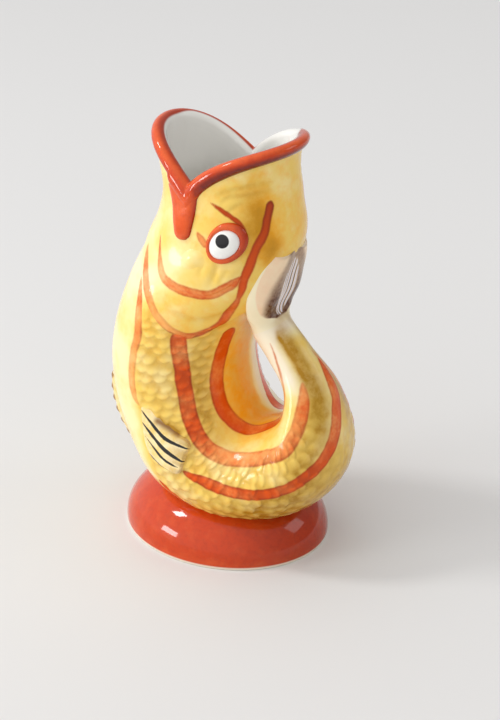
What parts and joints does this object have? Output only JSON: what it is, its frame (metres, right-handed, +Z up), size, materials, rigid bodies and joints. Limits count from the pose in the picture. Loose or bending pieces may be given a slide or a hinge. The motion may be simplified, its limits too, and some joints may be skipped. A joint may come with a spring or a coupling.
{
  "type": "fish-shaped jug",
  "caption": "Glazed earthenware jug in the form of an upright fish on an oval foot: its open mouth pours, and its hollow tail curls up to the back of the head as the handle.",
  "frame": {"origin": "on the table, under the middle of the jug's length and width", "axes": "+Z up, -X the way the fish's belly and the front of the mouth face, +X towards the tail handle, -Y the fish's right side"},
  "size_m": [0.1286, 0.094, 0.2174],
  "materials": {
    "yellow_glaze": "glossy mottled yellow glaze over painted strokes",
    "red_glaze": "glossy red-orange glaze",
    "tan_glaze": "glossy tan glaze, darker in the hollows",
    "cream_glaze": "glossy cream glaze with painted rays",
    "white_glaze": "glossy white glaze with a painted pupil"
  },
  "bodies": {
    "root": {"foot": "red_glaze", "body": "yellow_glaze", "head": "yellow_glaze", "lip": "red_glaze", "tail": "yellow_glaze", "tail_fin": "tan_glaze", "right_pectoral_fin": "cream_glaze", "right_belly_fin": "cream_glaze", "right_mouth_corner": "red_glaze", "right_eye": "white_glaze", "right_eyelid": "red_glaze", "right_cheek": "yellow_glaze", "left_pectoral_fin": "cream_glaze", "left_belly_fin": "cream_glaze", "left_mouth_corner": "red_glaze", "left_eye": "white_glaze", "left_eyelid": "red_glaze", "left_cheek": "yellow_glaze"}
  },
  "joints": []
}
